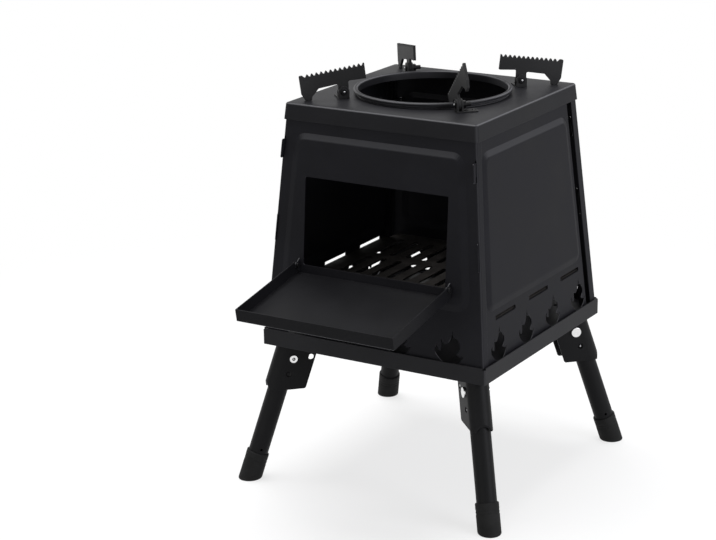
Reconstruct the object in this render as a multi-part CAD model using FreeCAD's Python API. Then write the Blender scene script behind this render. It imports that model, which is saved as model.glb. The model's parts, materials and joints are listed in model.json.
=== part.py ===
"""Camping wood stove: a tapered sheet-metal firebox on a square base with four folding legs.

Four wall panels stand on the floor of the base and taper towards a top plate with a round
opening, whose raised collar is ringed by four toothed pot supports that tip inwards.
A feed door in the shape of a shallow tray is hinged below the window of the front panel.
Millimetres, +Z up, the door faces -Y, and the origin is on the ground under the middle
of the box that the open stove fills.
"""
import FreeCAD
import Part
import math
import os
from FreeCAD import Matrix, Placement, Vector

# Sheet metal
heavy_sheet = 1.5
wall_sheet = 1.2
overrun = 10.0
touch_gap = 0.3
pin_fit = 0.05
hairline = 0.002

# Base tray
base_width = 300.0
base_rim_height = 19.8
ground_height = 171.0
floor_height = 13.5
base_bend = 1.8
corner_relief = 4.0

# Firebox walls, heights from the bottom edge of the base
wall_foot_inset = 2.6
cap_width_share = 0.8425
cap_height = 293.25
cap_skirt = 19.5
cap_flare_gap = 0.0816
cap_fit = 0.35
cap_bend = 4.0
wall_bend = 2.5
front_flange = 11.0
rear_flange = 14.0
rear_gap = 9.0
side_return = 8.0

# Pressed field of each wall
field_rise = 2.5
field_run = 8.0
field_corner = 17.0
field_edge = 10.0
front_field_foot = 26.0
front_field_drop = 33.25
front_field_margin = 15.0
side_field_low = 77.0
side_field_drop = 34.25
side_field_margin = 11.7
side_field_spread = 3.0
side_field_rear_margin = 4.7
side_field_low_corner = 12.0

# Feed window and flame-shaped vents
window_side = 55.0
window_head = 50.0
window_sill = 105.0
window_corner = 2.0
vent_spacing_share = 0.23
vent_count = 4
vent_width = 38.0
vent_height = 40.0
vent_foot = 17.5

# Lanced slots of the side walls, whose tabs carry the fire grate
slot_spacing_share = 0.27833
slot_count = 3
slot_length_share = 0.16333
slot_height = 5.5
slot_low = 64.5
slot_corner = 1.0
grate_tab = 8.0
tab_side_gap = 0.5

# Fire grate
grate_sheet = 2.0
grate_fit = 0.9
grate_corner = 4.0
grate_columns = 11
grate_rows = 3
grate_slot_width = 8.0
grate_slot_share = 0.22
grate_pitch_share = 0.07333
grate_row_share = 0.27333

# Hook tabs of the side walls
hook_height = 22.0
hook_neck = 7.0
hook_head_gap = 42.25
hook_reach = 5.8
hook_lip = 4.6
hook_corner = 1.4
mid_tab_height = 32.0
mid_tab_gap = 68.0
mid_tab_reach = 1.4
hook_fit = 0.4
hook_drop = 3.0

# Collar round the top opening
collar_bore_share = 0.70030
collar_height = 7.7
collar_bead = 2.7

# Feed door
door_overlap = 8.0
door_reach_over = 22.0
door_slope_degrees = 10.5
door_floor_drop = 11.0
hinge_gap = 0.5
hinge_stand = 7.0
hinge_pin = 4.0
hinge_head = 8.0
hinge_head_height = 1.6
hinge_ear_radius = 4.0
hinge_ear_foot = 8.0
dimple_bore = 2.6
dimple_from_side = 11.0
dimple_from_hinge = 5.0

# Pot supports, places from the pivot pin
support_gap = 20.0
support_sheet = 3.0
support_pin = 5.0
support_pin_height = 8.5
support_reach = 52.8
support_inner_reach = 25.1
support_outer_top = 20.9
support_inner_top = 32.2
support_under = 13.9
support_inner_foot = 27.4
support_neck_inner = 5.9
support_neck_outer = 6.4
support_neck_bend = 2.0
support_neck_rise = 12.4
support_neck_outer_rise = 9.2
support_arm_reach = 29.5
support_arm_under = 5.3
support_foot_slant = 37.5
support_foot_width = 12.5
support_foot_slant_rise = 4.0
support_foot_bend = 1.0
support_toe_rise = 7.5
support_toe_run = 4.5
support_heel = 6.3
support_end_bend = 1.4
tooth_count = 13
tooth_depth = 2.9
tooth_pitch_share = 0.072
tooth_start_share = 0.009
tooth_tip_share = 0.16
tooth_valley_share = 0.2
tooth_end_share = 0.95

# Brackets of the pot supports
bracket_reach = 22.0
bracket_depth = 13.0
bracket_height = 15.0
bracket_sheet = 2.0
bracket_fit = 0.3
bracket_corner = 3.0
bracket_rivet = 3.0
bracket_rivet_head = 6.0
bracket_rivet_dome = 1.3
bracket_rivet_places = (8.8, 18.0)
support_pin_head = 8.0
support_pin_head_height = 1.4
support_pin_peen = 3.0
support_pin_peen_height = 0.6
support_nut_flats = 8.0
support_nut_height = 4.0
support_pin_end = 14.0

# Legs, places along and out from the pivot bolt in the leg's own tilted frame
leg_tilt_degrees = 18.4
pivot_inset = 33.632
pivot_drop = 18.0
tube_diameter = 24.0
tube_wall = 1.5
tube_out = 4.0
tube_top = 12.5
foot_sole = 7.5740
tube_fit = 0.1
tube_eyelet = 3.2
tube_eyelet_gap = 5.4
cap_wall = 1.8
cap_cover = 28.0
cap_lip = 1.2
cap_edge = 1.8
cap_bore_fit = 0.05
head_nose_gap = 3.4
head_inner = 25.5
head_corner = 3.0
head_top_out = 4.5
head_top = 24.5
head_nose_top = 20.5
head_shoulder_out = 24.1
head_shoulder = 17.8
head_neck_out = 16.9
head_neck = 18.4
head_side_top = 16.0
head_foot_drop = 39.0
head_chamfer = 5.0
head_chamfer_rise = 10.0
lock_hole = 7.0
lock_hole_up = 7.3
lock_hole_out = 20.2
cross_pin_place = 20.4
cross_pin = 5.2
cross_pin_recess = 0.9
cross_pin_bore = 6.8
pivot_bolt = 6.0
pivot_bolt_head = 12.4
pivot_bolt_head_height = 2.2
pivot_bolt_tail = 9.8
pivot_bolt_tail_height = 1.8
pivot_bolt_tail_bore = 4.0
pivot_bolt_edge = 0.6
pivot_washer = 11.0

# Leg mounts under the floor
mount_sheet = 2.0
mount_gap = 1.3
mount_reach = 31.0
mount_low = 9.5
mount_lug = 9.5
mount_lug_reach = 11.0
mount_stop_top = 21.0
mount_rivet = 4.0
mount_rivet_head = 7.5
mount_rivet_dome = 1.6
mount_rivet_shares = (0.21, 0.71)

# The flame of a vent, as shares of its width and height: each curve ends on the
# point that closes its row, with the two points before it pulling the curve
flame_start_share = (-0.42, 0.17)
flame_curve_shares = (
    ((-0.57, 0.28), (-0.55, 0.40), (-0.47, 0.51)),
    ((-0.38, 0.24), (-0.28, 0.29), (-0.32, 0.71)),
    ((-0.25, 0.46), (-0.03, 0.50), (0.07, 1.00)),
    ((0.06, 0.84), (0.10, 0.70), (0.17, 0.78)),
    ((0.38, 0.64), (0.37, 0.42), (0.21, 0.33)),
    ((0.29, 0.23), (0.37, 0.24), (0.46, 0.31)),
    ((0.41, 0.14), (0.26, 0.00), (0.11, -0.03)),
    ((-0.08, -0.06), (-0.29, 0.02), (-0.42, 0.17)),
)

# Worked out from the sizes above
base_half = base_width / 2
floor_top = floor_height + heavy_sheet
plate_under = cap_height - heavy_sheet
cap_width = base_width * cap_width_share
wall_foot_half = base_half - wall_foot_inset
wall_top_half = cap_width / 2 - heavy_sheet - cap_fit
wall_rise = plate_under - floor_top
taper = (wall_foot_half - wall_top_half) / wall_rise
wall_lean = math.atan(taper)
cap_flare = cap_skirt * taper + cap_flare_gap
front_field_low = window_sill - front_field_foot
front_field_high = cap_height - front_field_drop
side_field_high = cap_height - side_field_drop
window_width = base_width - 2 * window_side
window_height = front_field_high - window_sill - window_head
door_width = window_width + 2 * door_overlap
door_reach = window_height + door_reach_over
hinge_height = window_sill - hinge_gap
hook_high = cap_height - hook_head_gap
hook_low = hook_high - hook_height
hook_neck_low = hook_low + hook_neck
mid_tab_high = hook_low - mid_tab_gap
mid_tab_low = mid_tab_high - mid_tab_height
vent_spacing = base_width * vent_spacing_share
slot_spacing = base_width * slot_spacing_share
slot_length = base_width * slot_length_share
grate_slot_length = base_width * grate_slot_share
grate_pitch = base_width * grate_pitch_share
grate_row_pitch = base_width * grate_row_share
collar_bore = cap_width * collar_bore_share
support_radius = collar_bore / 2 + support_gap
pivot_radius = base_half * math.sqrt(2) - pivot_inset
wall_length = wall_rise / math.cos(wall_lean)
side_depth = wall_sheet + touch_gap
front_tab_depth = side_depth + wall_sheet
rear_tab_depth = side_depth + wall_sheet / 2 + side_return
leg_angle = math.radians(leg_tilt_degrees)
tube_end = (ground_height - pivot_drop + tube_out * math.sin(leg_angle)) / math.cos(leg_angle) - foot_sole
cap_top = tube_end - cap_cover
tube_eyelet_place = cap_top - tube_eyelet_gap
head_half = tube_diameter / 2 + tube_fit + heavy_sheet
head_nose_out = tube_out + head_half + head_nose_gap
cap_diameter = tube_diameter + 2 * cap_wall
mount_width = tube_diameter + 2 * tube_fit - 2 * mount_gap
corner_turns = {"fl": 225.0, "fr": 315.0, "rl": 135.0, "rr": 45.0}
bracket_sides = {"fl": 1, "fr": -1, "rl": 1, "rr": -1}
up = Vector(0, 0, 1)
parts = {}


def wall_half(height):
    """Half width of the firebox outside its walls, at a height above the base's bottom edge."""
    return wall_foot_half - taper * (height - floor_top)


def along_wall(height):
    """Distance up a leaning wall from the floor to a height."""
    return (height - floor_top) / math.cos(wall_lean)


def corner_cut(before, point, after, radius):
    """The arc that rounds a corner: its start, middle and end."""
    back = (before - point).normalize()
    ahead = (after - point).normalize()
    half = back.getAngle(ahead) / 2
    reach = radius / math.tan(half)
    middle = (back + ahead).normalize()
    return (point + back * reach,
            point + middle * (radius / math.sin(half) - radius),
            point + ahead * reach)


def outline(points):
    """Closed flat wire through (x, y) or (x, y, radius) points, its corners rounded."""
    places = [Vector(p[0], p[1], 0) for p in points]
    radii = [p[2] if len(p) > 2 else 0.0 for p in points]
    corners = []
    for i, place in enumerate(places):
        if radii[i] > 0:
            after = places[(i + 1) % len(places)]
            corners.append(corner_cut(places[i - 1], place, after, radii[i]))
        else:
            corners.append((place,))
    edges = []
    for i, corner in enumerate(corners):
        if len(corner) == 3:
            edges.append(Part.Arc(*corner).toShape())
        start = corner[-1]
        end = corners[(i + 1) % len(corners)][0]
        if start.distanceToPoint(end) > hairline:
            edges.append(Part.LineSegment(start, end).toShape())
    return Part.Wire(edges)


def plate(points, thickness):
    """Flat plate on the XY plane, its thickness along +Z."""
    return Part.Face(outline(points)).extrude(up * thickness)


def disc(diameter, height):
    """Round plate or rod on the XY plane, along +Z."""
    return Part.makeCylinder(diameter / 2, height)


def block(low, high):
    """Box between two corners."""
    size = high - low
    return Part.makeBox(size.x, size.y, size.z, low)


def placed(shape, origin, across, upward):
    """Copy of a shape made on the XY plane, moved to an origin with its X and Y as given."""
    facing = across.cross(upward)
    frame = Matrix(across.x, upward.x, facing.x, origin.x,
                   across.y, upward.y, facing.y, origin.y,
                   across.z, upward.z, facing.z, origin.z,
                   0, 0, 0, 1)
    moved = shape.copy()
    moved.Placement = Placement(frame).multiply(moved.Placement)
    return moved


def turned(shape, degrees):
    """Copy of a shape turned about the stove's upright axis."""
    moved = shape.copy()
    moved.rotate(Vector(0, 0, 0), up, degrees)
    return moved


def shifted(shape, x, y, z):
    """Copy of a shape moved by x, y, z."""
    moved = shape.copy()
    moved.translate(Vector(x, y, z))
    return moved


def dome(diameter, height):
    """Low round rivet head on the XY plane: a slice of a ball."""
    ball = ((diameter / 2) ** 2 + height ** 2) / (2 * height)
    head = Part.makeSphere(ball, Vector(0, 0, height - ball))
    return head.common(disc(diameter * 2, height))


def square_wire(half, height, radius):
    """Level rounded square round the upright axis."""
    corners = ((-half, -half, radius), (half, -half, radius),
               (half, half, radius), (-half, half, radius))
    wire = outline(corners)
    wire.translate(up * height)
    return wire


def frustum(low_half, low, high_half, high, radius):
    """Square block with rounded upright edges that tapers evenly with height."""
    wires = [square_wire(low_half, low, radius), square_wire(high_half, high, radius)]
    return Part.makeLoft(wires, True, True)


def on_wall(shape, turn):
    """Shape made with x across, y up a wall and z outwards, moved to the wall at that turn."""
    across = Vector(1, 0, 0)
    upward = Vector(0, math.sin(wall_lean), math.cos(wall_lean))
    origin = Vector(0, -wall_foot_half, floor_top)
    return turned(placed(shape, origin, across, upward), turn)


def inset(points, distance):
    """Corner points of a convex outline whose sides all move inwards by a distance."""
    moved = []
    for i, point in enumerate(points):
        a = Vector(*points[i - 1][:2])
        b = Vector(*point[:2])
        c = Vector(*points[(i + 1) % len(points)][:2])
        back = (a - b).normalize()
        ahead = (c - b).normalize()
        middle = (back + ahead).normalize()
        reach = distance / math.sin(back.getAngle(ahead) / 2)
        corner = b + middle * reach
        moved.append((corner.x, corner.y, point[2] - distance))
    return moved


def field_block(points, low, high):
    """Block with sloping sides that shapes a pressed field, its outline true at height zero."""
    slope = field_run / field_rise
    wires = []
    for height in (low, high):
        wire = outline(inset(points, slope * height))
        wire.translate(up * height)
        wires.append(wire)
    return Part.makeLoft(wires, True, True)


def top_edges(shape, height):
    """Edges of a shape that lie level at one height."""
    found = []
    for edge in shape.Edges:
        box = edge.BoundBox
        if abs(box.ZMin - height) < pin_fit and abs(box.ZMax - height) < pin_fit:
            found.append(edge)
    return found


def pressed(panel, points, turn, depth):
    """Panel with its field pressed outwards; depth is how far its face lies inside the wall."""
    pad = field_block(points, -wall_sheet / 2, field_rise)
    pad = pad.makeFillet(field_edge, top_edges(pad, field_rise))
    recess = shifted(field_block(points, -wall_sheet, field_rise), 0, 0, -wall_sheet)
    raised = panel.fuse(on_wall(shifted(pad, 0, 0, -depth), turn))
    return raised.cut(on_wall(shifted(recess, 0, 0, -depth), turn))


def flame():
    """Flat flame-shaped face with its foot at the origin."""
    def at(share):
        return Vector(share[0] * vent_width, share[1] * vent_height, 0)

    start = at(flame_start_share)
    edges = []
    for pull, second, end in flame_curve_shares:
        curve = Part.BezierCurve()
        curve.setPoles([start, at(pull), at(second), at(end)])
        edges.append(curve.toShape())
        start = at(end)
    return Part.Face(Part.Wire(edges))


def wall_cutter(face, x, height, turn):
    """Cutter through a wall in the shape of a flat face, placed across and up the wall."""
    cutter = face.extrude(up * (2 * overrun))
    return on_wall(shifted(cutter, x, along_wall(height), -overrun), turn)


def vented(panel, turn):
    """Panel with its row of flame-shaped vents cut."""
    for i in range(vent_count):
        x = (i - (vent_count - 1) / 2) * vent_spacing
        panel = panel.cut(wall_cutter(flame(), x, vent_foot, turn))
    return panel


def side_outline():
    """Outline of the right wall seen from outside, x from front to rear and y up the wall."""
    foot = wall_foot_half
    head = wall_top_half
    front = wall_sheet + touch_gap
    rear = rear_flange + rear_gap
    return ((-foot + front, 0), (foot - rear, 0), (head - rear, wall_length), (-head + front, wall_length))


def hook_face(low, neck_low, high, reach, lip, end):
    """Flat hook tab that leaves the side wall at its front (end -1) or rear (end 1)."""
    def at(out, height):
        return (end * (wall_half(height) + out), along_wall(height))

    root = rear_flange + rear_gap + wall_sheet if end > 0 else front_flange
    points = [at(-root, high), at(reach, high) + (hook_corner,)]
    if lip > 0:
        points += [at(reach, low) + (hook_corner,), at(reach - lip, low) + (hook_corner,)]
        points += [at(reach - lip, neck_low)]
    else:
        points += [at(reach, low) + (hook_corner / 2,)]
    points += [at(-root, neck_low)]
    return Part.Face(outline(points))


def hook_faces(end):
    """The two flat tabs of a side wall: a hook over a plain one in front (end -1), both plain at its rear lip."""
    middle = hook_face(mid_tab_low, mid_tab_low, mid_tab_high, mid_tab_reach, 0.0, end)
    if end < 0:
        return hook_face(hook_low, hook_neck_low, hook_high, hook_reach, hook_lip, end), middle
    return hook_face(hook_low, hook_low, hook_high, mid_tab_reach, 0.0, end), middle


def corner_slots(panel, turn, tab_depth, drop):
    """Slots of a front or rear wall for the side walls' tabs, with room above the upper ones to drop in."""
    thickness = wall_sheet + hook_fit + touch_gap
    spans = ((hook_low - hook_fit, hook_high + drop), (mid_tab_low - hook_fit, mid_tab_high + hook_fit))
    for low, high in spans:
        points = []
        for out, height in ((-1, low), (1, low), (1, high), (-1, high)):
            points.append((-(wall_half(height) + out * overrun / 2), along_wall(height)))
        cutter = shifted(plate(points, thickness), 0, 0, -tab_depth - hook_fit)
        right = on_wall(cutter, 90)
        left = right.mirror(Vector(0, 0, 0), Vector(1, 0, 0))
        panel = panel.cut(turned(right, turn)).cut(turned(left, turn))
    return panel


def wrap_panel(flange, turn):
    """Front or rear wall: a sheet whose side edges are bent round the box as flanges."""
    outer = frustum(wall_foot_half, floor_top, wall_top_half, plate_under, wall_bend)
    inner = frustum(wall_foot_half - wall_sheet, floor_top, wall_top_half - wall_sheet, plate_under,
                    wall_bend - wall_sheet)
    wedge = Part.Face(Part.makePolygon([
        Vector(-base_half, -base_half, floor_top),
        Vector(-base_half, -wall_foot_half + flange, floor_top),
        Vector(-base_half, -wall_top_half + flange, plate_under),
        Vector(-base_half, -base_half, plate_under),
        Vector(-base_half, -base_half, floor_top),
    ])).extrude(Vector(base_width, 0, 0))
    shell = outer.cut(inner).common(wedge)
    return turned(shell, turn)


def front_field():
    """Field outline of the front and rear walls."""
    low_half = wall_half(front_field_low) - front_field_margin
    high_half = wall_half(front_field_high) - front_field_margin
    low = along_wall(front_field_low)
    high = along_wall(front_field_high)
    return ((-low_half, low, field_corner), (low_half, low, field_corner),
            (high_half, high, field_corner), (-high_half, high, field_corner))


def side_field():
    """Field outline of the right wall, x from front to rear."""
    low_half = wall_half(side_field_low)
    high_half = wall_half(side_field_high)
    low = along_wall(side_field_low)
    high = along_wall(side_field_high)
    rear = rear_flange + rear_gap + side_field_rear_margin
    front = side_field_margin
    return ((-low_half + front + side_field_spread, low, side_field_low_corner),
            (low_half - rear, low, side_field_low_corner),
            (high_half - rear, high, field_corner),
            (-high_half + front, high, field_corner))


def hinge_origin():
    """Point on the door's hinge line, in the middle of the door."""
    out = Vector(0, -math.cos(wall_lean), math.sin(wall_lean))
    return Vector(0, -wall_half(hinge_height), hinge_height) + out * hinge_stand


def hinge_ears():
    """Two ears of the front wall that hold the door's hinge pins, inside its lips."""
    upward = Vector(0, math.sin(wall_lean), math.cos(wall_lean))
    outward = Vector(0, -math.cos(wall_lean), math.sin(wall_lean))
    foot = field_rise - wall_sheet / 2 - hinge_stand
    radius = hinge_ear_radius
    points = ((-hinge_ear_foot, foot), (-radius, 0.0), (radius, 0.0), (hinge_ear_foot, foot))
    ear = plate(points, wall_sheet).fuse(disc(2 * radius, wall_sheet))
    ear = ear.cut(disc(hinge_pin + 2 * pin_fit, wall_sheet))
    place = door_width / 2 - wall_sheet - touch_gap
    origin = hinge_origin()
    ears = []
    for x in (-place, place - wall_sheet):
        ears.append(placed(ear, origin + Vector(x, 0, 0), upward, outward))
    return ears


def front_panel():
    panel = pressed(wrap_panel(front_flange, 0), front_field(), 0, 0.0)
    half = window_width / 2
    window = outline(((-half, 0, window_corner), (half, 0, window_corner),
                      (half, window_height, window_corner), (-half, window_height, window_corner)))
    panel = panel.cut(wall_cutter(Part.Face(window), 0, window_sill, 0))
    panel = corner_slots(vented(panel, 0), 0, front_tab_depth, hook_drop)
    for ear in hinge_ears():
        panel = panel.fuse(ear)
    return panel


def rear_panel():
    panel = pressed(wrap_panel(rear_flange, 180), front_field(), 180, 0.0)
    return corner_slots(vented(panel, 180), 180, rear_tab_depth, hook_fit)


def side_panel():
    """Right wall: a sheet behind the flanges, hooked into the front and rear walls."""
    sheet = Part.Face(outline(side_outline()))
    for face in hook_faces(-1):
        sheet = sheet.fuse(face)
    flat = shifted(sheet.extrude(up * wall_sheet), 0, 0, -front_tab_depth)
    panel = on_wall(flat.removeSplitter(), 90)
    panel = pressed(panel, side_field(), 90, side_depth)
    foot = wall_foot_half - rear_flange - rear_gap
    head = wall_top_half - rear_flange - rear_gap
    lip = ((foot - wall_sheet, 0), (foot, 0), (head, wall_length), (head - wall_sheet, wall_length))
    lip = shifted(plate(lip, side_return), 0, 0, -side_depth - wall_sheet / 2 - side_return)
    panel = panel.fuse(on_wall(lip, 90))
    for face in hook_faces(1):
        panel = panel.fuse(on_wall(shifted(face.extrude(up * wall_sheet), 0, 0, -rear_tab_depth), 90))
    end = slot_length / 2
    slot = outline(((-end, 0, slot_corner), (end, 0, slot_corner),
                    (end, slot_height, slot_corner), (-end, slot_height, slot_corner)))
    inner = wall_half(slot_low) - side_depth - wall_sheet
    for i in range(slot_count):
        y = (i - (slot_count - 1) / 2) * slot_spacing
        panel = panel.cut(wall_cutter(Part.Face(slot), y, slot_low, 90))
        half = end - tab_side_gap
        tab = block(Vector(inner - grate_tab, y - half, slot_low - wall_sheet),
                    Vector(inner + wall_sheet / 2, y + half, slot_low))
        panel = panel.fuse(tab)
    panel = vented(panel, 90)
    return panel.common(block(Vector(-base_half, -base_half, floor_top),
                              Vector(base_half, base_half, plate_under)))


def base_tray():
    """Square rim with a raised floor, hollow below for the leg mounts."""
    rim = frustum(base_half, 0.0, base_half, base_rim_height, base_bend)
    below = frustum(base_half - heavy_sheet, -overrun, base_half - heavy_sheet, floor_height,
                    base_bend - heavy_sheet)
    above = frustum(base_half - heavy_sheet, floor_top, base_half - heavy_sheet,
                    base_rim_height + overrun, base_bend - heavy_sheet)
    tray = rim.cut(below).cut(above)
    notch_low = base_rim_height - corner_relief / 2
    for turn in corner_turns.values():
        corner = base_half * math.sqrt(2)
        notch = block(Vector(corner - corner_relief - base_bend, -corner_relief / 2, notch_low),
                      Vector(corner + overrun, corner_relief / 2, base_rim_height + overrun))
        tray = tray.cut(turned(notch, turn))
    return tray


def top_plate():
    """Cap with a flared skirt, and a collar with a rolled bead round its opening."""
    low = cap_height - cap_skirt
    half = cap_width / 2
    outer = frustum(half + cap_flare, low, half, cap_height, cap_bend)
    outer = outer.makeFillet(wall_bend, top_edges(outer, cap_height))
    slope = cap_flare / cap_skirt
    low_half = half + cap_flare + slope * overrun - heavy_sheet
    high_half = half + slope * heavy_sheet - heavy_sheet
    inner = frustum(low_half, low - overrun, high_half, plate_under, cap_bend - heavy_sheet)
    cap = outer.cut(inner)
    bead_height = cap_height + collar_height - collar_bead
    wall = shifted(disc(collar_bore + 2 * heavy_sheet, bead_height - plate_under), 0, 0, plate_under)
    bead = Part.makeTorus(collar_bore / 2 + collar_bead, collar_bead, Vector(0, 0, bead_height))
    cap = cap.fuse(wall).fuse(bead)
    bore = shifted(disc(collar_bore, cap_height), 0, 0, plate_under - overrun)
    cap = cap.cut(bore)
    for name, turn in corner_turns.items():
        for rivet_hole in bracket_rivet_rods(2 * pin_fit, bracket_sides[name]):
            cap = cap.cut(turned(rivet_hole, turn))
    return cap


def fire_grate():
    """Slotted plate on the side walls' tabs, its rear corners notched round those walls' lips."""
    half = wall_half(slot_low) - side_depth - wall_sheet - grate_fit
    top_half = wall_half(slot_low + grate_sheet)
    notch_x = top_half - side_depth - wall_sheet / 2 - side_return - grate_fit
    notch_y = top_half - rear_flange - rear_gap - wall_sheet - grate_fit
    corners = ((-half, -half, grate_corner), (half, -half, grate_corner),
               (half, notch_y), (notch_x, notch_y, grate_corner), (notch_x, half, grate_corner),
               (-notch_x, half, grate_corner), (-notch_x, notch_y, grate_corner), (-half, notch_y))
    grate = plate(corners, grate_sheet)
    x0 = grate_slot_width / 2
    y0 = grate_slot_length / 2
    round_end = x0 - pin_fit
    slot = plate(((-x0, -y0, round_end), (x0, -y0, round_end), (x0, y0, round_end), (-x0, y0, round_end)),
                 grate_sheet)
    for i in range(grate_columns):
        for j in range(grate_rows):
            x = (i - (grate_columns - 1) / 2) * grate_pitch
            y = (j - (grate_rows - 1) / 2) * grate_row_pitch
            grate = grate.cut(shifted(slot, x, y, 0))
    return shifted(grate, 0, 0, slot_low)


def door_frame(shape, x):
    """Shape made with x towards the hinge's front and y square off the door's floor, at a side place."""
    slope = math.radians(door_slope_degrees)
    out = Vector(0, -math.cos(slope), -math.sin(slope))
    rise = Vector(0, -math.sin(slope), math.cos(slope))
    return placed(shape, hinge_origin() + Vector(x, 0, 0), out, rise)


def feed_door():
    """Tray-shaped door, open: its floor slopes forwards and its rear edge rests on the front wall."""
    angle = wall_lean + math.radians(door_slope_degrees)
    stand = hinge_stand - field_rise - touch_gap
    rear = (stand - door_floor_drop * math.sin(angle)) / math.cos(angle)
    low = -door_floor_drop
    high = stand
    half = door_width / 2
    floor_plate = plate(((-rear, low), (door_reach, low),
                         (door_reach, low + wall_sheet), (-rear, low + wall_sheet)), door_width)
    lip_points = ((-rear, low), (door_reach, low), (door_reach, high), (0.0, high), (-high, 0.0))
    lip = plate(lip_points, wall_sheet).fuse(disc(2 * high, wall_sheet))
    lip = lip.cut(disc(hinge_pin + 2 * pin_fit, wall_sheet))
    front = plate(((door_reach - wall_sheet, low), (door_reach, low), (door_reach, high),
                   (door_reach - wall_sheet, high)), door_width)
    door = door_frame(floor_plate, half).fuse(door_frame(front, half))
    door = door.fuse(door_frame(lip, half)).fuse(door_frame(lip, -half + wall_sheet))
    slope = math.radians(door_slope_degrees)
    down = Vector(0, math.sin(slope), -math.cos(slope))
    spot = Vector(-half + dimple_from_side, 0, 0)
    spot -= Vector(0, math.cos(slope), math.sin(slope)) * dimple_from_hinge
    hole = Part.makeCylinder(dimple_bore / 2, overrun * 2, hinge_origin() + spot, down)
    door = door.cut(hole).removeSplitter()
    edges = []
    for edge in door.Edges:
        box = edge.BoundBox
        if box.XLength > door_width - overrun and box.ZMin < hinge_height - door_floor_drop - overrun:
            edges.append(edge)
    lowest = min(edges, key=lambda e: e.BoundBox.ZMin)
    return door.makeFillet(wall_sheet - pin_fit, [lowest])


def door_pins():
    """Two headed pins on the hinge line, through the ears and the door's side lips."""
    inner = door_width / 2 - 2 * wall_sheet - 2 * touch_gap - hinge_head_height
    outer = door_width / 2 + touch_gap
    rod = shifted(disc(hinge_pin, outer - inner), 0, 0, inner)
    head = shifted(disc(hinge_head, hinge_head_height), 0, 0, outer)
    head = head.makeFillet(hinge_head_height / 2, top_edges(head, outer + hinge_head_height))
    tail = shifted(disc(hinge_head * 3 / 4, hinge_head_height), 0, 0, inner)
    pin = rod.fuse(head).fuse(tail)
    right = placed(pin, hinge_origin(), Vector(0, 1, 0), up)
    left = placed(pin, hinge_origin(), Vector(0, -1, 0), up)
    return Part.makeCompound([left, right])


def radial_frame(shape, turn, radius, height):
    """Shape made with x outwards, y up and z sideways, moved to a corner's diagonal."""
    angle = math.radians(turn)
    out = Vector(math.cos(angle), math.sin(angle), 0)
    return placed(shape, out * radius + up * height, out, up)


def support_points():
    """Outline of a pot support from its pivot, with the teeth along its top and a broad tooth at its end."""
    inner = Vector(-support_inner_reach, support_inner_top)
    outer = Vector(support_reach, support_outer_top)
    run = outer - inner
    pitch = run.Length * tooth_pitch_share
    first = run.Length * tooth_start_share
    along = run.normalize()
    down = Vector(along.y, -along.x)
    half_tip = along * (pitch * tooth_tip_share / 2)
    half_valley = along * (pitch * tooth_valley_share / 2)
    places = [inner]
    for i in range(tooth_count):
        tip = inner + along * (first + pitch * i)
        valley = tip + along * (pitch / 2) + down * tooth_depth
        if i > 0:
            places.append(tip - half_tip)
        places += [tip + half_tip, valley - half_valley, valley + half_valley]
    points = [(place.x, place.y) for place in places]
    end = inner + (outer - inner) * tooth_end_share
    foot = touch_gap - support_pin_height
    heel = support_foot_slant + support_foot_width
    points += [
        (end.x, end.y, support_end_bend),
        (outer.x, outer.y, support_end_bend),
        (heel, foot + support_toe_rise, support_foot_bend),
        (heel - support_toe_run, foot, support_foot_bend),
        (support_foot_slant, foot, support_foot_bend),
        (support_foot_slant, foot + support_foot_slant_rise),
        (support_arm_reach, support_arm_under),
        (support_neck_outer, support_neck_outer_rise, support_neck_bend),
        (support_heel, 0.0),
        (-support_heel, 0.0),
        (-support_neck_inner, support_neck_rise, support_neck_bend),
        (-support_inner_foot, support_under, support_foot_bend),
    ]
    return points


def support_lean():
    """Degrees that a support tips inwards before its underside rests on the collar's bead."""
    a = Vector(-support_neck_inner, support_neck_rise)
    b = Vector(-support_inner_foot, support_under)
    side = (a - b).normalize()
    normal = Vector(-side.y, side.x)
    bead = Vector(collar_bore / 2 + collar_bead - support_radius,
                  collar_height - collar_bead - support_pin_height)
    reach = a.dot(normal) - collar_bead - touch_gap
    spread = math.acos(reach / bead.Length)
    bead_angle = math.atan2(bead.y, bead.x) % (2 * math.pi)
    line_angle = math.atan2(normal.y, normal.x)
    return math.degrees(bead_angle - line_angle - spread)


def pot_support(turn, lean):
    """Toothed blade on its pin, tipped inwards by a number of degrees."""
    blade = plate(support_points(), support_sheet).fuse(disc(2 * support_heel, support_sheet))
    blade = blade.cut(disc(support_pin + 2 * pin_fit, support_sheet)).removeSplitter()
    blade = shifted(blade, 0, 0, -support_sheet / 2)
    blade.rotate(Vector(0, 0, 0), up, lean)
    return radial_frame(blade, turn, support_radius, cap_height + support_pin_height)


def facing(shape, side):
    """Shape of a bracket whose foot points to +Z, or its mirror image for the other side."""
    if side > 0:
        return shape
    return shape.mirror(Vector(0, 0, 0), up)


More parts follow.
